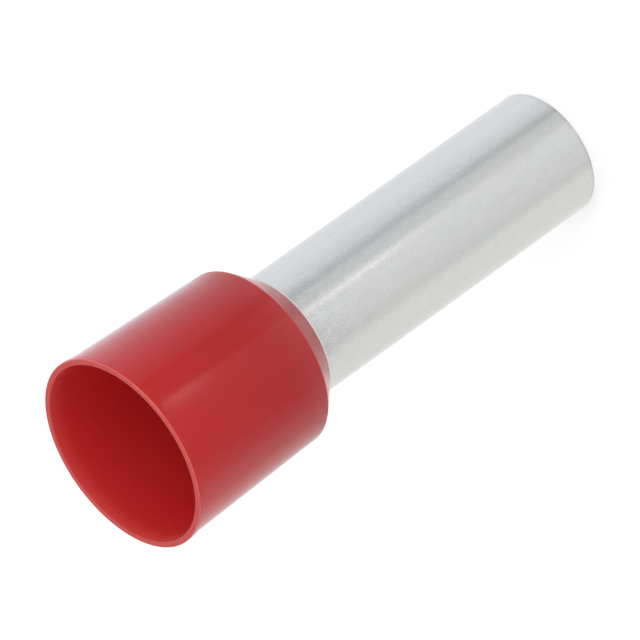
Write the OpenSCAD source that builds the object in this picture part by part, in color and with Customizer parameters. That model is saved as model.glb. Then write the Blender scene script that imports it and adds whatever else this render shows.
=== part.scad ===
// Insulated wire ferrule: a tinned copper tube, flared at one end, held in the
// shoulder of a moulded plastic collar. It stands on the tube's open end, with
// the axis up Z and the collar's mouth at the top. Sizes are in millimetres.

/* [Tube] */
// Inside diameter of the tube, which the bare strands fill
bore_d = 8.3; // [6.5:0.1:10]
// Thickness of the tube's metal
tube_wall = 0.2; // [0.15:0.01:0.4]
// Length of tube that stands out of the collar
tube_l = 25; // [12:0.5:32]
// Angle between the axis and the flare, and so the collar's shoulder
flare_angle = 40.5; // [30:0.5:50]
// Radius on the outside of the bend, where the tube turns into its flare
bend_r = 0.45; // [0.3:0.05:0.7]
// Radius on the edges of the tube's two cut ends
cut_r = 0.05; // [0.02:0.01:0.07]

/* [Collar] */
// Length of the collar, from its lip to its mouth
collar_l = 14; // [9:0.5:18]
// Inside diameter at the mouth, which takes the wire's insulation
mouth_d = 12.7; // [10.5:0.1:16]
// Thickness of the wall and of the shoulder
collar_wall = 0.36; // [0.3:0.01:0.6]
// Draft of the wall on each side, which opens it towards the mouth
draft = 1.8; // [0:0.1:3]
// Radius outside, where the shoulder turns into the wall
shoulder_r = 0.2; // [0.1:0.05:1]
// Radius inside, in the corner between the seat and the wall
corner_r = 0.2; // [0.1:0.05:0.4]
// Radius on the lip's outer edge
lip_r = 0.08; // [0.02:0.01:0.12]

/* [Rim] */
// Height of the rim that stiffens the mouth
rim_h = 0.42; // [0.3:0.02:1]
// Distance that the rim stands out from the wall
rim_proud = 0.06; // [0.04:0.01:0.3]
// Radius on the two edges of the mouth
rim_r = 0.08; // [0.05:0.01:0.15]
// Radius on the rim's lower edge
ledge_r = 0.05; // [0.02:0.01:0.06]

/* [Fits] */
// Gap between the tube and the neck, and between the flare and its seat
seat_gap = 0.03; // [0.01:0.01:0.1]
// Straight length of the neck, between the lip and the bend
grip_l = 0.12; // [0.05:0.01:0.2]
// Gap between the flare's edge and the corner of the seat
flare_gap = 0.15; // [0.1:0.01:0.3]

/* [Hidden] */
$fn = 96;

// Heights of the collar's lip and mouth above the tube's open end
lip_z = tube_l;
mouth_z = lip_z + collar_l;

// Radii, from the axis outwards
bore_radius = bore_d / 2;
tube_radius = bore_radius + tube_wall;
neck_radius = tube_radius + seat_gap;
mouth_radius = mouth_d / 2;
wall_radius = mouth_radius + collar_wall;
rim_radius = wall_radius + rim_proud;

// Radius that rounds the neck into the seat, about the same centre as the bend
neck_r = bend_r - seat_gap;

// How far a rounding reaches past a corner, and its arc past the lines it meets,
// so that no cut ends in a bare touch
overlap = 0.02;
bite = 0.0005;

// Across the flare and the shoulder, away from the lip
function inward(distance) = distance * [-cos(flare_angle), sin(flare_angle)];

// From a corner of the bend to the same corner a distance further inside
function bend_step(distance) = distance * [-1, tan(flare_angle / 2)];

// Points on the line that rises from a point at the flare's angle
function flare_at_radius(start, radius) =
    [radius, start.y + (radius - start.x) / tan(flare_angle)];
function flare_at_height(start, height) =
    [start.x + (height - start.y) * tan(flare_angle), height];

// The point at a height on a wall that comes down with its draft from its top
function wall_at_height(top, height) =
    [top.x - (top.y - height) * tan(draft), height];

// Where a line that rises at the flare's angle meets a wall that comes down
function wall_corner(start, top) =
    let (shortfall = wall_at_height(top, start.y).x - start.x)
    flare_at_height(start, start.y + shortfall / (tan(flare_angle) - tan(draft)));

// Corners of the collar's section, as radius and height
mouth_edge = [mouth_radius, mouth_z];
rim_edge = [rim_radius, mouth_z];
ledge_edge = [rim_radius, mouth_z - rim_h];
ledge_root = wall_at_height([wall_radius, mouth_z], ledge_edge.y);
neck_end = [neck_radius, lip_z];
neck_top = neck_end + [0, grip_l + neck_r * tan(flare_angle / 2)];
seat_corner = wall_corner(neck_top, mouth_edge);
lip_edge = flare_at_height(neck_top - inward(collar_wall), lip_z);
shoulder = wall_corner(lip_edge, [wall_radius, mouth_z]);

// Corners of the tube's section
bend_outer = neck_top + bend_step(seat_gap);
bend_inner = bend_outer + bend_step(tube_wall);
flare_outer = flare_at_radius(bend_outer, seat_corner.x - flare_gap);
flare_inner = flare_outer + inward(tube_wall);

// The direction from one point to another, as a unit vector
function heading(from, to) = (to - from) / norm(to - from);

// Whether an outline drawn anticlockwise turns outwards at a corner
function is_convex(before, corner, after) =
    cross(corner - before, after - corner) > 0;

// What lies between a corner and the arc that rounds it
module corner_sliver(before, corner, after, radius) {
    to_before = heading(corner, before);
    to_after = heading(corner, after);
    half_angle = acos(to_before * to_after) / 2;
    reach = radius / tan(half_angle);
    bisector = heading([0, 0], to_before + to_after);
    centre = corner + bisector * radius / sin(half_angle);
    difference() {
        polygon([
            corner - bisector * overlap,
            corner + to_before * reach,
            centre,
            corner + to_after * reach
        ]);
        translate(centre) circle(radius + bite);
    }
}

// The slivers of an outline's rounded corners, either the convex or the hollow ones
module slivers(corners, radii, convex) {
    count = len(corners);
    for (i = [0:count - 1]) {
        before = corners[(i + count - 1) % count];
        after = corners[(i + 1) % count];
        if (radii[i] > 0 && is_convex(before, corners[i], after) == convex) {
            corner_sliver(before, corners[i], after, radii[i]);
        }
    }
}

// A ring turned from an outline, drawn anticlockwise, with a radius for each corner
module turned_ring(corners, radii) {
    rotate_extrude()
    difference() {
        union() {
            polygon(corners);
            slivers(corners, radii, false);
        }
        slivers(corners, radii, true);
    }
}

// Moulded collar: neck and lip round the tube, shoulder, drafted wall and rim
module insulating_collar() {
    color([0.73, 0.20, 0.21])
    turned_ring(
        [neck_end, lip_edge, shoulder, ledge_root, ledge_edge,
            rim_edge, mouth_edge, seat_corner, neck_top],
        [0, lip_r, shoulder_r, 0, ledge_r,
            rim_r, rim_r, corner_r, neck_r]
    );
}

// Seamless tinned copper tube, bent out into a flare that sits on the shoulder
module copper_tube() {
    color([0.80, 0.81, 0.80])
    turned_ring(
        [[bore_radius, 0], [tube_radius, 0], bend_outer,
            flare_outer, flare_inner, bend_inner],
        [cut_r, cut_r, bend_r,
            cut_r, cut_r, bend_r + tube_wall]
    );
}

insulating_collar();
copper_tube();
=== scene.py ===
"""Finishes, studio and camera for an insulated wire ferrule that stands on its tube's open end."""

import logging
import math
from collections.abc import Mapping, Sequence
from dataclasses import dataclass, field
from enum import Enum

import bmesh
import bpy
from mathutils import Matrix, Vector


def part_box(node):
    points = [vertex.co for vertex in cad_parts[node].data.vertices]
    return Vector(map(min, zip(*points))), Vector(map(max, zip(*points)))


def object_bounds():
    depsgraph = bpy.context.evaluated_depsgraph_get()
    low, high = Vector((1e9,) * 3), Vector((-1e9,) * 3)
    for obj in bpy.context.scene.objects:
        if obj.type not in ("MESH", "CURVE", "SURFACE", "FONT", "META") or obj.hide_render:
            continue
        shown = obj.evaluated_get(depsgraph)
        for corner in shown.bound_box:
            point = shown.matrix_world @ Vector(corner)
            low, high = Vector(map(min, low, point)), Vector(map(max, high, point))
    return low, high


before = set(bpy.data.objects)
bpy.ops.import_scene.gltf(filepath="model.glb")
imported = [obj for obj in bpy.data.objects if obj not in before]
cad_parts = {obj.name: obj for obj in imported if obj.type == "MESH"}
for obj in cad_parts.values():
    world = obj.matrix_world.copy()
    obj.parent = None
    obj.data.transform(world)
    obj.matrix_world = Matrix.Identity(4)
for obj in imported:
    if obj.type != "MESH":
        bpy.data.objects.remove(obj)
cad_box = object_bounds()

log = logging.getLogger("ferrule")

MM = 0.001
COLLAR_NODE = "insulating_collar"
TUBE_NODE = "copper_tube"
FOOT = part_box(TUBE_NODE)[0].z / MM
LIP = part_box(COLLAR_NODE)[0].z / MM
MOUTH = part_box(COLLAR_NODE)[1].z / MM
WHITE = (1.0, 1.0, 1.0)
NODE_SPACING = 180
MIXED_NOISE_LEVELS = (0.1, 0.9)

Colour = tuple[float, float, float]
Ends = tuple[float, float]
Fill = float | Sequence[float] | bpy.types.NodeSocket


class Effect(Enum):
    """The effects that more than one material uses, by the name of their node group."""

    DRAWN_NOISE = "drawn_noise"
    HEIGHT_BAND = "height_band"
    SPECKS = "specks"
    STUDIO_GLOW = "studio_glow"


class Slot(Enum):
    """The record's material slots."""

    COLLAR = "collar_plastic"
    TUBE = "tinned_copper"


@dataclass(frozen=True)
class Noise:
    """Grain, streaks or clouds: a cell's size in millimetres, and the levels made 0 and 1."""

    title: str
    width: float
    length: float
    low: float = 0.35
    high: float = 0.65


@dataclass(frozen=True)
class Band:
    """A stretch of height with soft ends, in millimetres."""

    title: str
    bottom: float
    top: float
    softness: float


@dataclass(frozen=True)
class Scatter:
    """Scattered specks: their spacing and size in millimetres, and the share of cells with one."""

    title: str
    spacing: float
    size: float
    share: float


class Graph:
    """A node tree, with short ways to add nodes, fill their sockets and join them.

    A value that a method takes is a number, a colour, a vector or the socket that gives it, and
    what a method returns is the socket with its result.
    """

    def __init__(self, tree: bpy.types.NodeTree) -> None:
        """Take the node tree of a material, a world or a group."""
        self.tree = tree
        self.column = 0

    def add(
        self, kind: str, title: str, fills: Mapping[str | int, Fill] | None = None, **options: object
    ) -> bpy.types.Node:
        """Add one node.

        Args:
            kind: The node's type, without the leading "ShaderNode" of a shader node.
            title: What the node is for, as its label.
            fills: A value for each named or numbered input, or the socket that feeds it.
            **options: The node's own settings.

        Returns:
            The new node.
        """
        node = self.tree.nodes.new(kind if kind.startswith("Node") else "ShaderNode" + kind)
        node.label = title
        self.column += 1
        node.location = (self.column * NODE_SPACING, 0)
        for name, value in options.items():
            setattr(node, name, value)
        for name, value in (fills or {}).items():
            self.fill(node.inputs[name], value)
        return node

    def fill(self, socket: bpy.types.NodeSocket, value: Fill) -> None:
        """Set an input to a value, or join it to the output that feeds it.

        Args:
            socket: The input.
            value: A number, a colour, a vector or an output socket.
        """
        if isinstance(value, bpy.types.NodeSocket):
            self.tree.links.new(value, socket)
        elif socket.type == "RGBA" and len(value) == 3:
            socket.default_value = (*value, 1.0)
        else:
            socket.default_value = value

    def compute(self, operation: str, first: Fill, second: Fill = 0.0) -> bpy.types.NodeSocket:
        """Do one piece of arithmetic, named as the Math node names it."""
        return self.add("Math", operation.lower(), {0: first, 1: second}, operation=operation).outputs[0]

    def product(self, first: Fill, second: Fill) -> bpy.types.NodeSocket:
        """Multiply two numbers."""
        return self.compute("MULTIPLY", first, second)

    def total(self, first: Fill, second: Fill) -> bpy.types.NodeSocket:
        """Add two numbers."""
        return self.compute("ADD", first, second)

    def length(self, vector: Fill) -> bpy.types.NodeSocket:
        """Measure a vector's length."""
        return self.add("VectorMath", "length", {0: vector}, operation="LENGTH").outputs["Value"]

    def span(
        self, value: Fill, source: tuple[Fill, Fill], target: tuple[Fill, Fill] = (0.0, 1.0)
    ) -> bpy.types.NodeSocket:
        """Move a value from one range to another, with soft ends and held inside them."""
        fills = {0: value, 1: source[0], 2: source[1], 3: target[0], 4: target[1]}
        return self.add("MapRange", "range", fills, interpolation_type="SMOOTHSTEP").outputs[0]

    def blend(self, share: Fill, first: Fill, second: Fill) -> bpy.types.NodeSocket:
        """Mix two colours, with a share of the second one from 0 to 1."""
        mixed = self.add("Mix", "mixed colour", {0: share, 6: first, 7: second}, data_type="RGBA")
        return mixed.outputs[2]

    def layer(self, under: Fill, mask: Fill, strength: float, over: Colour) -> bpy.types.NodeSocket:
        """Lay one colour over another where a mask shows it, with a strength from 0 to 1."""
        return self.blend(self.product(mask, strength), under, over)

    def bump(self, title: str, height: Fill, depth: float) -> bpy.types.NodeSocket:
        """Turn a height into relief, whose depth in metres is that of a height of 1."""
        return self.add("Bump", title, {"Height": height, "Distance": depth, "Strength": 1.0}).outputs[0]

    def effect(self, effect: Effect, title: str, fills: Mapping[str, Fill]) -> bpy.types.NodeSocket:
        """Place one of the shared effects.

        Args:
            effect: The effect.
            title: What it is for here.
            fills: Its named inputs.

        Returns:
            The effect's one output.
        """
        node = self.add("Group", title)
        node.node_tree = bpy.data.node_groups[effect.value]
        for name, value in fills.items():
            self.fill(node.inputs[name], value)
        return node.outputs[0]

    def noise(self, place: Fill, noise: Noise) -> bpy.types.NodeSocket:
        """Place a noise, which runs from 0 to 1."""
        sizes = {"Width mm": noise.width, "Length mm": noise.length, "Low": noise.low, "High": noise.high}
        return self.effect(Effect.DRAWN_NOISE, noise.title, {"Place": place} | sizes)

    def band(self, place: Fill, band: Band) -> bpy.types.NodeSocket:
        """Place the mask of a band between two heights."""
        ends = {"Bottom mm": band.bottom, "Top mm": band.top, "Softness mm": band.softness}
        return self.effect(Effect.HEIGHT_BAND, band.title, {"Place": place} | ends)

    def scatter(self, place: Fill, scatter: Scatter) -> bpy.types.NodeSocket:
        """Place the mask of scattered specks."""
        sizes = {"Spacing mm": scatter.spacing, "Size mm": scatter.size, "Share": scatter.share}
        return self.effect(Effect.SPECKS, scatter.title, {"Place": place} | sizes)


def blank_material(name: str) -> tuple[bpy.types.Material, Graph]:
    """Make a material with an empty node tree.

    Args:
        name: The material's name.

    Returns:
        The material and its graph.
    """
    material = bpy.data.materials.new(name)
    material.use_nodes = True
    material.node_tree.nodes.clear()
    return material, Graph(material.node_tree)


@dataclass(frozen=True)
class GlowTone:
    """The tent's tone in one direction, which is a turn round the axis in degrees."""

    turn: float
    tone: Colour


@dataclass(frozen=True)
class TentGap:
    """A narrow bright gap in the tent.

    Its sides and its middle are turns in degrees. It starts and ends softly between two distances
    from the axis, in metres.
    """

    sides: tuple[float, float, float]
    starts: Ends
    ends: Ends
    strength: float


@dataclass(frozen=True)
class EffectShelf:
    """Builds each shared effect once, as a node group with named inputs and one output.

    The near tones lie on the floor close by, which the tube mirrors, and the far tones further
    out and on the backdrop, which the collar mirrors.
    """

    near_tones: tuple[GlowTone, ...] = (
        GlowTone(-180, (0.95, 0.95, 0.95)),
        GlowTone(-140, (0.86, 0.86, 0.83)),
        GlowTone(-97, (0.87, 0.87, 0.85)),
        GlowTone(-76, (0.86, 0.87, 0.84)),
        GlowTone(-66, (0.77, 0.78, 0.76)),
        GlowTone(-57, (0.735, 0.745, 0.73)),
        GlowTone(-48, (0.785, 0.79, 0.78)),
        GlowTone(-30, (0.82, 0.82, 0.82)),
        GlowTone(0, (0.86, 0.865, 0.865)),
        GlowTone(18, (0.84, 0.85, 0.845)),
        GlowTone(26, (0.74, 0.755, 0.755)),
        GlowTone(34, (0.73, 0.745, 0.745)),
        GlowTone(43, (0.70, 0.72, 0.72)),
        GlowTone(49, (0.58, 0.60, 0.60)),
        GlowTone(54, (0.59, 0.61, 0.62)),
        GlowTone(60, (0.70, 0.71, 0.73)),
        GlowTone(72, (0.81, 0.82, 0.84)),
        GlowTone(100, (0.90, 0.92, 0.94)),
        GlowTone(140, (0.88, 0.90, 0.93)),
        GlowTone(180, (0.95, 0.95, 0.95)),
    )
    far_tones: tuple[GlowTone, ...] = (
        GlowTone(-180, (1.00, 1.00, 1.00)),
        GlowTone(-134, (0.97, 0.93, 0.90)),
        GlowTone(-97, (0.79, 0.78, 0.77)),
        GlowTone(-78, (0.56, 0.56, 0.56)),
        GlowTone(-58, (0.42, 0.43, 0.44)),
        GlowTone(-46, (0.42, 0.42, 0.42)),
        GlowTone(-34, (0.43, 0.43, 0.44)),
        GlowTone(-20, (0.49, 0.49, 0.50)),
        GlowTone(-6, (0.51, 0.51, 0.52)),
        GlowTone(15, (0.49, 0.49, 0.50)),
        GlowTone(21, (0.39, 0.39, 0.40)),
        GlowTone(36, (0.40, 0.40, 0.41)),
        GlowTone(49, (0.37, 0.37, 0.38)),
        GlowTone(56, (0.52, 0.53, 0.56)),
        GlowTone(70, (0.63, 0.66, 0.70)),
        GlowTone(90, (0.79, 0.87, 0.94)),
        GlowTone(115, (0.94, 1.11, 1.21)),
        GlowTone(150, (1.03, 1.23, 1.32)),
        GlowTone(180, (1.00, 1.00, 0.97)),
    )
    near_to_far: Ends = (0.0449, 0.0470)
    gap_tone: Colour = (4.25, 4.15, 3.95)
    gaps: tuple[TentGap, ...] = (
        TentGap((4.0, 16.0, 22.0), (0.0099, 0.0255), (0.0445, 0.0470), 0.02),
        TentGap((8.5, 15.5, 20.0), (0.0250, 0.0314), (0.0430, 0.0458), 0.08),
        TentGap((4.0, 15.5, 24.0), (0.0565, 0.0596), (0.0596, 0.0614), 0.31),
        TentGap((6.0, 18.0, 28.0), (0.0594, 0.0614), (0.0614, 0.0630), 0.24),
        TentGap((-9.0, 11.0, 24.0), (0.0563, 0.0598), (0.0600, 0.0628), 0.13),
        TentGap((-20.0, 16.0, 22.0), (0.0471, 0.0490), (0.0588, 0.0618), 0.016),
        TentGap((-90.0, 14.0, 100.0), (0.0385, 0.0430), (0.0451, 0.0463), 0.025),
    )
    tube_radius: float = 4.35 * MM
    noise_detail: float = 2.0
    noise_roughness: float = 0.55

    def stock(self) -> None:
        """Build every effect."""
        self.drawn_noise()
        self.height_band()
        self.specks()
        self.studio_glow()

    @staticmethod
    def start(
        effect: Effect, inputs: Mapping[str, float | None], output: str, kind: str
    ) -> tuple[Graph, bpy.types.Node]:
        """Make an empty group with its sockets.

        Args:
            effect: The effect, whose name the group takes.
            inputs: Each input's name with its usual value, or None for a vector.
            output: The output's name.
            kind: The output's socket type.

        Returns:
            The group's graph and its input node.
        """
        tree = bpy.data.node_groups.new(effect.value, "ShaderNodeTree")
        for name, usual in inputs.items():
            shape = "NodeSocketVector" if usual is None else "NodeSocketFloat"
            socket = tree.interface.new_socket(name, in_out="INPUT", socket_type=shape)
            if usual is not None:
                socket.default_value = usual
        tree.interface.new_socket(output, in_out="OUTPUT", socket_type=kind)
        graph = Graph(tree)
        return graph, graph.add("NodeGroupInput", "inputs")

    @staticmethod
    def close(graph: Graph, result: bpy.types.NodeSocket) -> None:
        """Join the result to the group's output."""
        graph.add("NodeGroupOutput", "output", {0: result})

    def drawn_noise(self) -> None:
        """Noise with one width across the axis and another along it, for grain, streaks and clouds."""
        usual = {"Place": None, "Width mm": 1.0, "Length mm": 1.0, "Low": 0.35, "High": 0.65}
        graph, given = self.start(Effect.DRAWN_NOISE, usual, "Value", "NodeSocketFloat")
        across = graph.compute("DIVIDE", 1.0 / MM, given.outputs["Width mm"])
        along = graph.compute("DIVIDE", 1.0 / MM, given.outputs["Length mm"])
        scale = graph.add("CombineXYZ", "cells per metre", {0: across, 1: across, 2: along}).outputs[0]
        fills = {0: given.outputs["Place"], 1: scale}
        cells = graph.add("VectorMath", "cells", fills, operation="MULTIPLY").outputs[0]
        fills = {
            "Vector": cells,
            "Scale": 1.0,
            "Detail": self.noise_detail,
            "Roughness": self.noise_roughness,
        }
        noise = graph.add("TexNoise", "noise", fills).outputs[0]
        self.close(graph, graph.span(noise, (given.outputs["Low"], given.outputs["High"])))

    def height_band(self) -> None:
        """A band between two heights with soft ends: 1 inside it and 0 outside."""
        usual = {"Place": None, "Bottom mm": 0.0, "Top mm": 1.0, "Softness mm": 0.1}
        graph, given = self.start(Effect.HEIGHT_BAND, usual, "Mask", "NodeSocketFloat")
        parts = graph.add("SeparateXYZ", "axes", {0: given.outputs["Place"]})
        height = graph.compute("DIVIDE", parts.outputs["Z"], MM)
        soft = given.outputs["Softness mm"]
        bottom = given.outputs["Bottom mm"]
        top = given.outputs["Top mm"]
        above = graph.span(height, (graph.compute("SUBTRACT", bottom, soft), bottom))
        below = graph.span(height, (top, graph.total(top, soft)), (1.0, 0.0))
        self.close(graph, graph.product(above, below))

    def specks(self) -> None:
        """Scattered round specks: 1 at the middle of each and 0 away from them."""
        usual = {"Place": None, "Spacing mm": 1.0, "Size mm": 0.1, "Share": 0.3}
        graph, given = self.start(Effect.SPECKS, usual, "Mask", "NodeSocketFloat")
        scale = graph.compute("DIVIDE", 1.0 / MM, given.outputs["Spacing mm"])
        cells = graph.add("TexVoronoi", "cells", {"Vector": given.outputs["Place"], "Scale": scale})
        edge = graph.compute("DIVIDE", given.outputs["Size mm"], given.outputs["Spacing mm"])
        spot = graph.span(cells.outputs["Distance"], (0.0, edge), (1.0, 0.0))
        pick = graph.add("SeparateColor", "cell's number", {0: cells.outputs["Color"]}).outputs[0]
        chosen = graph.compute("LESS_THAN", pick, given.outputs["Share"])
        self.close(graph, graph.product(spot, chosen))

    def studio_glow(self) -> None:
        """The tent's tone, as glossy surfaces see it, by turn round the axis and distance from it."""
        graph, given = self.start(Effect.STUDIO_GLOW, {"Direction": None}, "Tone", "NodeSocketColor")
        parts = graph.add("SeparateXYZ", "axes", {0: given.outputs["Direction"]})
        around = graph.compute("ARCTAN2", parts.outputs["X"], graph.product(parts.outputs["Y"], -1.0))
        reach = graph.length(given.outputs["Direction"])
        turn = self.mirrored_turn(graph, around, reach)
        share = graph.total(graph.product(turn, 0.5 / math.pi), 0.5)
        near = self.ramp(graph, "near tones", share, self.near_tones)
        far = self.ramp(graph, "far tones", share, self.far_tones)
        tone = graph.blend(graph.span(reach, self.near_to_far), near, far)
        for gap in self.gaps:
            tone = graph.blend(self.gap_share(graph, gap, turn, reach), tone, self.gap_tone)
        self.close(graph, tone)

    def mirrored_turn(
        self, graph: Graph, around: bpy.types.NodeSocket, reach: bpy.types.NodeSocket
    ) -> bpy.types.NodeSocket:
        """Turn of the ray that the tube mirrors to a point of the floor, so that bands run straight.

        Args:
            graph: The graph that the nodes go in.
            around: The point's own turn round the axis, in radians.
            reach: The point's distance from the axis.

        Returns:
            The socket with the ray's turn, in radians.
        """
        closeness = graph.compute("DIVIDE", self.tube_radius, reach)
        halved = graph.compute("DIVIDE", around, graph.compute("SUBTRACT", 2.0, closeness))
        offset = graph.compute("ARCSINE", graph.product(closeness, graph.compute("SINE", halved)))
        return graph.total(around, offset)

    @staticmethod
    def gap_share(
        graph: Graph, gap: TentGap, turn: bpy.types.NodeSocket, reach: bpy.types.NodeSocket
    ) -> bpy.types.NodeSocket:
        """How much of a gap there is in a direction.

        Args:
            graph: The graph that the nodes go in.
            gap: The gap.
            turn: The direction's turn, in radians.
            reach: The distance from the axis.

        Returns:
            The socket with the gap's share, from 0 to its strength.
        """
        low, middle, high = (math.radians(side) for side in gap.sides)
        rising = graph.span(turn, (low, middle))
        across = graph.product(rising, graph.span(turn, (middle, high), (1.0, 0.0)))
        begun = graph.span(reach, gap.starts, (0.0, gap.strength))
        along = graph.product(begun, graph.span(reach, gap.ends, (1.0, 0.0)))
        return graph.product(across, along)

    @staticmethod
    def ramp(
        graph: Graph, title: str, share: bpy.types.NodeSocket, tones: Sequence[GlowTone]
    ) -> bpy.types.NodeSocket:
        """Lay tones round a whole turn.

        Args:
            graph: The graph that the ramp goes in.
            title: What the ramp is for.
            share: The socket that says how far round a direction is, from 0 to 1.
            tones: The tones, in order of turn, with the two ends half a turn either way.

        Returns:
            The socket with the tone.
        """
        ramp = graph.add("ValToRGB", title, {0: share})
        ramp.color_ramp.interpolation = "EASE"
        stops = ramp.color_ramp.elements
        stops[0].color = (*tones[0].tone, 1.0)
        stops[1].color = (*tones[-1].tone, 1.0)
        for glow in tones[1:-1]:
            stops.new(glow.turn / 360 + 0.5).color = (*glow.tone, 1.0)
        return ramp.outputs[0]


@dataclass(frozen=True)
class SatinTin:
    """Matt tin on a drawn copper tube: pale, cool, finely grained along its length.

    The tints say how much each effect colours the surface, the sheens how much each changes its
    roughness, and the reliefs how much each adds to its grain.
    """

    bright: Colour = (0.780, 0.785, 0.787)
    dull: Colour = (0.710, 0.716, 0.716)
    warm: Colour = (0.77, 0.76, 0.74)
    pit: Colour = (0.50, 0.49, 0.47)
    smoothest: float = 0.12
    roughest: float = 0.17
    relief_depth: float = 0.0024 * MM
    clouds: Noise = Noise("plating clouds", 2.2, 12.0)
    mottle: Noise = Noise("mottle", 0.45, 0.8, low=0.3, high=0.7)
    patches: Noise = Noise("warm patches", 4.0, 9.0, low=0.5)
    lines: Noise = Noise("draw lines", 0.16, 6.0)
    grain: Noise = Noise("tin grain", 0.1, 0.15, low=0.3, high=0.7)
    pits: Scatter = Scatter("pits", 0.9, 0.09, 0.2)
    # The tube's colour turns darker towards its bottom end.
    darker_foot: Band = Band("darker bottom end", FOOT - 1.0, FOOT + 0.06, 0.25)
    calm: Band = Band("calmer by the collar", LIP + 1.0, MOUTH + 1.0, 5.0)
    grain_tint: float = 0.6
    mottle_tint: float = 0.3
    cloud_tint: float = 0.1
    patch_tint: float = 0.4
    line_tint: float = 0.12
    pit_tint: float = 0.4
    darker_foot_tint: float = 0.35
    mottle_sheen: float = 0.6
    grain_sheen: float = 0.4
    line_relief: float = 0.3
    calm_relief: float = 0.4

    def make(self) -> bpy.types.Material:
        """Build the material.

        Returns:
            The tin's material.
        """
        material, graph = blank_material("satin_tin")
        place = graph.add("TexCoord", "place").outputs["Object"]
        mottle = graph.noise(place, self.mottle)
        lines = graph.noise(place, self.lines)
        grain = graph.noise(place, self.grain)
        uneven = graph.product(mottle, self.mottle_sheen)
        uneven = graph.total(uneven, graph.product(grain, self.grain_sheen))
        height = graph.total(graph.total(grain, graph.product(lines, self.line_relief)), mottle)
        calm = graph.span(graph.band(place, self.calm), (0.0, 1.0), (1.0, self.calm_relief))
        fills = {
            "Base Color": self.colour(graph, place, mottle, lines, grain),
            "Roughness": graph.span(uneven, MIXED_NOISE_LEVELS, (self.roughest, self.smoothest)),
            "Metallic": 1.0,
            "Normal": graph.bump("grain relief", graph.product(height, calm), self.relief_depth),
        }
        surface = graph.add("BsdfPrincipled", "tin", fills)
        graph.add("OutputMaterial", "surface", {"Surface": surface.outputs[0]})
        return material

    def colour(
        self,
        graph: Graph,
        place: bpy.types.NodeSocket,
        mottle: bpy.types.NodeSocket,
        lines: bpy.types.NodeSocket,
        grain: bpy.types.NodeSocket,
    ) -> bpy.types.NodeSocket:
        """Build the tin's colour: grain and mottle, warm patches, draw lines, pits and a darker bottom
        end.

        Args:
            graph: The material's graph.
            place: The place on the object.
            mottle: The mottle's noise.
            lines: The draw lines' noise.
            grain: The grain's noise.

        Returns:
            The socket with the colour.
        """
        fine = graph.total(graph.product(grain, self.grain_tint), graph.product(mottle, self.mottle_tint))
        clouds = graph.product(graph.noise(place, self.clouds), self.cloud_tint)
        colour = graph.blend(graph.total(fine, clouds), self.dull, self.bright)
        for mask, strength, over in (
            (graph.noise(place, self.patches), self.patch_tint, self.warm),
            (lines, self.line_tint, self.dull),
            (graph.scatter(place, self.pits), self.pit_tint, self.pit),
            # Darker towards the tube's bottom end.
            (graph.band(place, self.darker_foot), self.darker_foot_tint, self.pit),
        ):
            colour = graph.layer(colour, mask, strength, over)
        return colour


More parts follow.
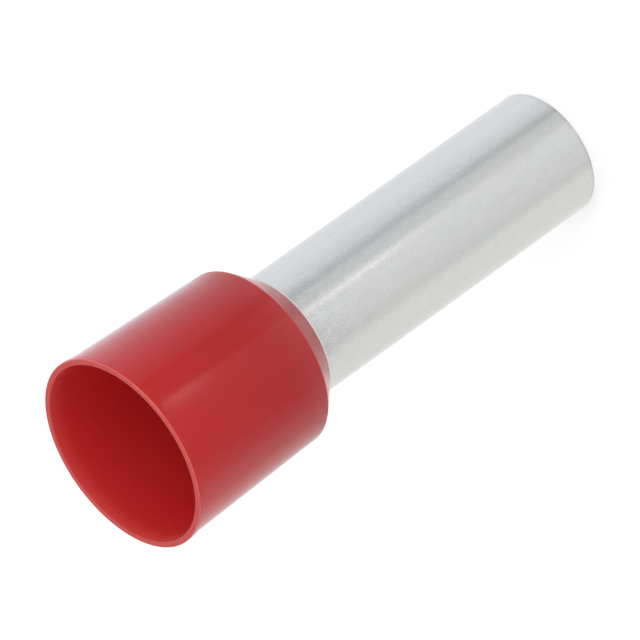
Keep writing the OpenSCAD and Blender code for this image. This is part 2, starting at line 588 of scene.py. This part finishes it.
@dataclass(frozen=True)
class SatinPlastic:
    """Moulded red plastic: satin, even, with a thin wall that lets a little light through.

    The tints, sheens and reliefs are shares, as they are in the tin. The wall's facing is a
    distance from the axis times how squarely the surface faces away from it, in metres.
    """

    body: Colour = (0.508, 0.010, 0.013)
    deep: Colour = (0.432, 0.009, 0.011)
    pale: Colour = (0.56, 0.05, 0.05)
    dusty: Colour = (0.60, 0.35, 0.33)
    # The inside's red is paler than the body's: painted light inside the cup.
    painted_inside_light: Colour = (0.545, 0.021, 0.025)
    # A paler red painted inside by the mouth as a glow of light through the wall.
    painted_throat_glow: Colour = (0.62, 0.066, 0.060)
    # A paler red for the mouth's ring: painted sheen.
    painted_ring_sheen: Colour = (0.535, 0.052, 0.048)
    # A pale pink painted as highlights on the shoulder's corner and on the rim's outer rounding.
    edge: Colour = (0.66, 0.12, 0.11)
    # A cream line painted on the lip as a highlight.
    lip: Colour = (0.90, 0.76, 0.68)
    smoothest: float = 0.08
    roughest: float = 0.115
    inner_roughness: float = 0.45
    ior: float = 1.6
    relief_depth: float = 0.0006 * MM
    bleed: float = 0.7
    bleed_depth: float = 1.2 * MM
    bleed_share: Colour = (1.0, 0.25, 0.2)
    clouds: Noise = Noise("colour clouds", 3.5, 5.0)
    flow: Noise = Noise("flow streaks", 1.1, 14.0, low=0.5)
    grain: Noise = Noise("mould grain", 0.14, 0.14, low=0.3, high=0.7)
    ripple: Noise = Noise("mould ripple", 1.6, 3.0)
    dust: Scatter = Scatter("dust", 1.3, 0.07, 0.12)
    mouthward: Band = Band("towards the mouth", MOUTH + 1.0, MOUTH + 2.0, 14.0)
    ring: Band = Band("mouth's ring", MOUTH - 0.07, MOUTH + 1.0, 0.03)
    # Where the painted glow goes, inside by the mouth.
    glow: Band = Band("painted glow by the mouth", MOUTH, MOUTH + 1.0, 1.4)
    # Where a highlight is painted round the shoulder's corner.
    corner: Band = Band("painted highlight on the shoulder's corner", LIP + 1.93, LIP + 2.02, 0.06)
    # Where the lip's highlight is painted.
    lip_highlight: Band = Band("painted lip highlight", LIP - 0.1, LIP + 0.2, 0.06)
    wall_facing: Ends = (1.0 * MM, 3.0 * MM)
    # How far up an outside face must tilt to get the rim's painted highlight.
    rim_highlight_tilt: Ends = (0.1, 0.4)
    cloud_tint: float = 0.15
    flow_tint: float = 0.03
    # How strongly the shoulder's corner highlight is painted.
    corner_highlight_tint: float = 0.3
    # How strongly the rim's highlight is painted.
    rim_highlight_tint: float = 0.7
    dust_tint: float = 0.35
    ripple_sheen: float = 0.5
    grain_sheen: float = 0.5
    ripple_relief: float = 3.0

    def make(self) -> bpy.types.Material:
        """Build the material.

        Returns:
            The plastic's material.
        """
        material, graph = blank_material("satin_red_plastic")
        where = graph.add("TexCoord", "place and facing")
        place = where.outputs["Object"]
        facing = where.outputs["Normal"]
        inside, outside = self.sides(graph, place, facing)
        # The lip's mask, where its highlight is painted; it also lowers the subsurface bleed there.
        thin = graph.product(self.lip_mask(graph, place), outside)
        grain = graph.noise(place, self.grain)
        ripple = graph.noise(place, self.ripple)
        uneven = graph.product(ripple, self.ripple_sheen)
        uneven = graph.total(uneven, graph.product(grain, self.grain_sheen))
        polish = graph.span(uneven, MIXED_NOISE_LEVELS, (self.roughest, self.smoothest))
        height = graph.total(grain, graph.product(ripple, self.ripple_relief))
        fills = {
            "Base Color": self.colour(graph, place, facing, inside, outside, thin),
            "Roughness": graph.compute("MAXIMUM", polish, graph.product(inside, self.inner_roughness)),
            "Normal": graph.bump("mould relief", height, self.relief_depth),
            "IOR": self.ior,
            "Subsurface Weight": graph.span(thin, (0.0, 1.0), (self.bleed, 0.0)),
            "Subsurface Scale": self.bleed_depth,
            "Subsurface Radius": self.bleed_share,
        }
        surface = graph.add("BsdfPrincipled", "plastic", fills)
        graph.add("OutputMaterial", "surface", {"Surface": surface.outputs[0]})
        return material

    def sides(
        self, graph: Graph, place: bpy.types.NodeSocket, facing: bpy.types.NodeSocket
    ) -> tuple[bpy.types.NodeSocket, bpy.types.NodeSocket]:
        """Tell the surfaces that face the axis from those that face away from it.

        Args:
            graph: The material's graph.
            place: The place on the object.
            facing: The surface's normal.

        Returns:
            The mask of the inside and that of the outside.
        """
        fills = {0: place, 1: (1.0, 1.0, 0.0)}
        outwards = graph.add("VectorMath", "away from the axis", fills, operation="MULTIPLY").outputs[0]
        fills = {0: facing, 1: outwards}
        side = graph.add("VectorMath", "inside or outside", fills, operation="DOT_PRODUCT")
        low, high = self.wall_facing
        inside = graph.span(side.outputs["Value"], (-high, -low), (1.0, 0.0))
        outside = graph.span(side.outputs["Value"], (low, high))
        return inside, outside

    def lip_mask(self, graph: Graph, place: bpy.types.NodeSocket) -> bpy.types.NodeSocket:
        """Mask the lip that hugs the tube, where a pale line is painted on as a highlight.

        The mask also sets how much light passes through, so its nodes are the material's own.

        Args:
            graph: The material's graph.
            place: The place on the object.

        Returns:
            The socket with the mask.
        """
        height = graph.add("SeparateXYZ", "height", {0: place}).outputs["Z"]
        lip = self.lip_highlight
        above = graph.span(height, ((lip.bottom - lip.softness) * MM, lip.bottom * MM))
        below = graph.span(height, (lip.top * MM, (lip.top + lip.softness) * MM), (1.0, 0.0))
        return graph.product(above, below)

    def colour(
        self,
        graph: Graph,
        place: bpy.types.NodeSocket,
        facing: bpy.types.NodeSocket,
        inside: bpy.types.NodeSocket,
        outside: bpy.types.NodeSocket,
        thin: bpy.types.NodeSocket,
    ) -> bpy.types.NodeSocket:
        """Build the plastic's colour: red, deeper by the shoulder, with painted light inside, a painted
        glow by the mouth, painted sheen on the mouth's ring, painted highlights on the shoulder's corner,
        the rim's rounding and the lip, and dust.

        Args:
            graph: The material's graph.
            place: The place on the object.
            facing: The surface's normal.
            inside: The mask of the inside.
            outside: The mask of the outside.
            thin: The mask of the lip, where the painted highlight goes.

        Returns:
            The socket with the colour.
        """
        upward = graph.add("SeparateXYZ", "facing", {0: facing}).outputs["Z"]
        # The rim's outer rounding, facing up and out, where a highlight is painted.
        rim_highlight = graph.product(graph.span(upward, self.rim_highlight_tilt), outside)
        colour = graph.blend(graph.band(place, self.mouthward), self.deep, self.body)
        colour = graph.layer(colour, graph.noise(place, self.clouds), self.cloud_tint, self.deep)
        colour = graph.layer(colour, graph.noise(place, self.flow), self.flow_tint, self.pale)
        # Painted highlight: pale pink round the shoulder's corner.
        colour = graph.layer(colour, graph.band(place, self.corner), self.corner_highlight_tint, self.edge)
        # Painted light: a paler red over the whole inside.
        colour = graph.blend(inside, colour, self.painted_inside_light)
        # Painted glow: a paler red inside, close to the mouth.
        colour = graph.blend(graph.product(graph.band(place, self.glow), inside), colour, self.painted_throat_glow)
        # Painted sheen: a paler red over the mouth's ring.
        colour = graph.blend(graph.band(place, self.ring), colour, self.painted_ring_sheen)
        # Painted highlight: pale pink on the rim's outer rounding.
        colour = graph.layer(colour, rim_highlight, self.rim_highlight_tint, self.edge)
        # Painted highlight: a cream line on the lip.
        colour = graph.blend(thin, colour, self.lip)
        return graph.layer(colour, graph.scatter(place, self.dust), self.dust_tint, self.dusty)


@dataclass
class Piece:
    """A piece whose shape comes from the frame and whose finish is made here."""

    node: str
    slot: Slot
    finish: SatinPlastic | SatinTin

    def dress(self) -> bpy.types.Object:
        """Give the piece its finish.

        Returns:
            The piece's object.
        """
        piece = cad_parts[self.node]
        piece.data.materials.clear()
        piece.data.materials.append(self.finish.make())
        return piece


@dataclass
class Collar(Piece):
    """The moulded collar."""

    node: str = COLLAR_NODE
    slot: Slot = Slot.COLLAR
    finish: SatinPlastic = field(default_factory=SatinPlastic)


@dataclass
class Tube(Piece):
    """The tinned tube."""

    node: str = TUBE_NODE
    slot: Slot = Slot.TUBE
    finish: SatinTin = field(default_factory=SatinTin)


@dataclass(frozen=True)
class Softbox:
    """A square lamp that faces the object."""

    name: str
    turn: float
    climb: float
    watts: float
    side: float
    tone: Colour
    distance: float = 0.9
    in_gloss: bool = True

    def hang(self, target: Vector) -> bpy.types.Object:
        """Make the lamp and point it at the object.

        Args:
            target: The point that it faces.

        Returns:
            The lamp's object.
        """
        light = bpy.data.lights.new(self.name, "AREA")
        light.shape = "SQUARE"
        light.size = self.side
        light.energy = self.watts
        light.color = self.tone
        lamp = bpy.data.objects.new(self.name, light)
        turn = math.radians(self.turn)
        climb = math.radians(self.climb)
        level = math.cos(climb)
        towards = Vector((math.sin(turn) * level, -math.cos(turn) * level, math.sin(climb)))
        lamp.location = target + towards * self.distance
        lamp.rotation_euler = towards.to_track_quat("Z", "Y").to_euler()
        lamp.visible_camera = False
        lamp.visible_glossy = self.in_gloss
        bpy.context.scene.collection.objects.link(lamp)
        return lamp


@dataclass
class Studio:
    """A pale floor in a white tent, with soft lamps.

    The horizon, the ceiling and the skylight are the tent's levels in gloss: low on its walls,
    above them, and added overhead. The heights between which they change are those of a
    direction one metre long.
    """

    floor_radius: float = 0.6
    floor_sides: int = 96
    floor_drop: float = 0.02 * MM
    floor_tone: Colour = (0.86, 0.86, 0.86)
    lift: float = 0.34
    shadow_reach: float = 0.05
    clear_from: float = 0.14
    room_light: float = 0.66
    horizon: float = 0.8
    ceiling: float = 0.6
    skylight: float = 0.4
    wall_heights: Ends = (-0.1, 0.5)
    sky_heights: Ends = (0.6, 0.95)
    lamps: tuple[Softbox, ...] = (
        Softbox("key_softbox", 32.0, 24.0, 2.6, 0.7, (0.97, 0.985, 1.0)),
        Softbox("fill_softbox", -60.0, 30.0, 0.84, 0.7, (1.0, 0.985, 0.96)),
        Softbox("side_softbox", 95.0, 50.0, 0.35, 0.7, WHITE, in_gloss=False),
        Softbox("back_softbox", 170.0, 35.0, 1.2, 0.7, WHITE, in_gloss=False),
    )

    @staticmethod
    def seen(graph: Graph, path: bpy.types.Node) -> bpy.types.NodeSocket:
        """Find the rays that show the backdrop as it is: the camera's own and those through glass."""
        return graph.compute("MAXIMUM", path.outputs["Is Camera Ray"], path.outputs["Is Transmission Ray"])

    def floor_material(self) -> bpy.types.Material:
        """Build the floor's material: white to the camera but for the shadow, and a tent to gloss.

        Returns:
            The floor's material.
        """
        material, graph = blank_material("studio_floor")
        place = graph.add("TexCoord", "place").outputs["Object"]
        path = graph.add("LightPath", "ray")
        seen = self.seen(graph, path)
        lit = graph.add("BsdfDiffuse", "lit floor", {"Color": self.floor_tone}).outputs[0]
        fills = {"Color": WHITE, "Strength": graph.product(seen, self.lift)}
        lifted = graph.add("Emission", "lift", fills).outputs[0]
        near = graph.add("AddShader", "near floor", {0: lit, 1: lifted}).outputs[0]
        white = graph.add("Emission", "clear white", {"Color": WHITE, "Strength": 1.0}).outputs[0]
        far = graph.span(graph.length(place), (self.shadow_reach, self.clear_from))
        fills = {0: graph.product(far, seen), 1: near, 2: white}
        shown = graph.add("MixShader", "floor as seen", fills).outputs[0]
        tone = graph.effect(Effect.STUDIO_GLOW, "tent in gloss", {"Direction": place})
        glow = graph.add("Emission", "glow", {"Color": tone, "Strength": 1.0}).outputs[0]
        mixed = graph.add("MixShader", "by ray", {0: path.outputs["Is Glossy Ray"], 1: shown, 2: glow})
        graph.add("OutputMaterial", "surface", {"Surface": mixed.outputs[0]})
        return material

    def lay_floor(self) -> bpy.types.Object:
        """Build the round floor.

        Returns:
            The floor's object.
        """
        mesh = bpy.data.meshes.new("floor")
        shape = bmesh.new()
        bmesh.ops.create_circle(
            shape, cap_ends=True, segments=self.floor_sides, radius=self.floor_radius
        )
        shape.to_mesh(mesh)
        shape.free()
        floor = bpy.data.objects.new("floor", mesh)
        floor.location.z = cad_box[0].z - self.floor_drop
        mesh.materials.append(self.floor_material())
        bpy.context.scene.collection.objects.link(floor)
        return floor

    def fill_room(self) -> bpy.types.World:
        """Build the world: white to the camera, a tent to gloss and an even light to the rest.

        Returns:
            The world.
        """
        world = bpy.data.worlds.new("white_tent")
        world.use_nodes = True
        world.node_tree.nodes.clear()
        graph = Graph(world.node_tree)
        place = graph.add("TexCoord", "direction").outputs["Generated"]
        path = graph.add("LightPath", "ray")
        fills = {"Color": WHITE, "Strength": self.room_light}
        light = graph.add("Background", "room light", fills).outputs[0]
        white = graph.add("Background", "clear white", {"Color": WHITE, "Strength": 1.0}).outputs[0]
        tone = graph.effect(Effect.STUDIO_GLOW, "tent in gloss", {"Direction": place})
        height = graph.add("SeparateXYZ", "height", {0: place}).outputs["Z"]
        walls = graph.span(height, self.wall_heights, (self.horizon, self.ceiling))
        level = graph.total(walls, graph.span(height, self.sky_heights, (0.0, self.skylight)))
        glow = graph.add("Background", "glow", {"Color": tone, "Strength": level}).outputs[0]
        fills = {0: self.seen(graph, path), 1: light, 2: white}
        shown = graph.add("MixShader", "backdrop", fills).outputs[0]
        mixed = graph.add("MixShader", "by ray", {0: path.outputs["Is Glossy Ray"], 1: shown, 2: glow})
        graph.add("OutputWorld", "surface", {"Surface": mixed.outputs[0]})
        bpy.context.scene.world = world
        return world

    def light(self) -> None:
        """Hang the lamps round the object's middle."""
        middle = (cad_box[0] + cad_box[1]) / 2
        for lamp in self.lamps:
            lamp.hang(middle)
            log.info("lamp %s: %.1f W", lamp.name, lamp.watts)


@dataclass
class Camera:
    """A long lens that looks down on the mouth, turned so that the tube points up to the right."""

    lens: float = 444.6
    sensor: float = 36.0
    distance: float = 0.50144
    climb: float = 32.19
    roll: float = -125.485
    aim: tuple[float, float, float] = (-0.000370, 0.000870, 0.020882)
    nearest: float = 0.01
    farthest: float = 10.0

    def place(self) -> bpy.types.Object:
        """Make the camera and set it as the scene's own.

        Returns:
            The camera's object.
        """
        lens = bpy.data.cameras.new("camera")
        lens.lens = self.lens
        lens.sensor_width = self.sensor
        lens.clip_start = self.nearest
        lens.clip_end = self.farthest
        camera = bpy.data.objects.new("camera", lens)
        climb = math.radians(self.climb)
        back = Vector((0.0, -math.cos(climb), math.sin(climb)))
        tilt = Matrix.Rotation(math.pi / 2 - climb, 4, "X")
        turn = Matrix.Rotation(math.radians(self.roll), 4, "Z")
        camera.matrix_world = Matrix.Translation(Vector(self.aim) + back * self.distance) @ tilt @ turn
        bpy.context.scene.collection.objects.link(camera)
        bpy.context.scene.camera = camera
        return camera


def main() -> None:
    """Dress the pieces, then build the studio and the camera round them."""
    logging.basicConfig(level=logging.INFO, format="%(name)s: %(message)s")
    bpy.context.scene.view_settings.view_transform = "Standard"
    EffectShelf().stock()
    for part in (Collar(), Tube()):
        piece = part.dress()
        log.info("piece %s: %d faces", piece.name, len(piece.data.polygons))
    studio = Studio()
    log.info("stage %s", studio.lay_floor().name)
    log.info("world %s", studio.fill_room().name)
    studio.light()
    log.info("camera %s", Camera().place().name)


if __name__ == "__main__":
    main()
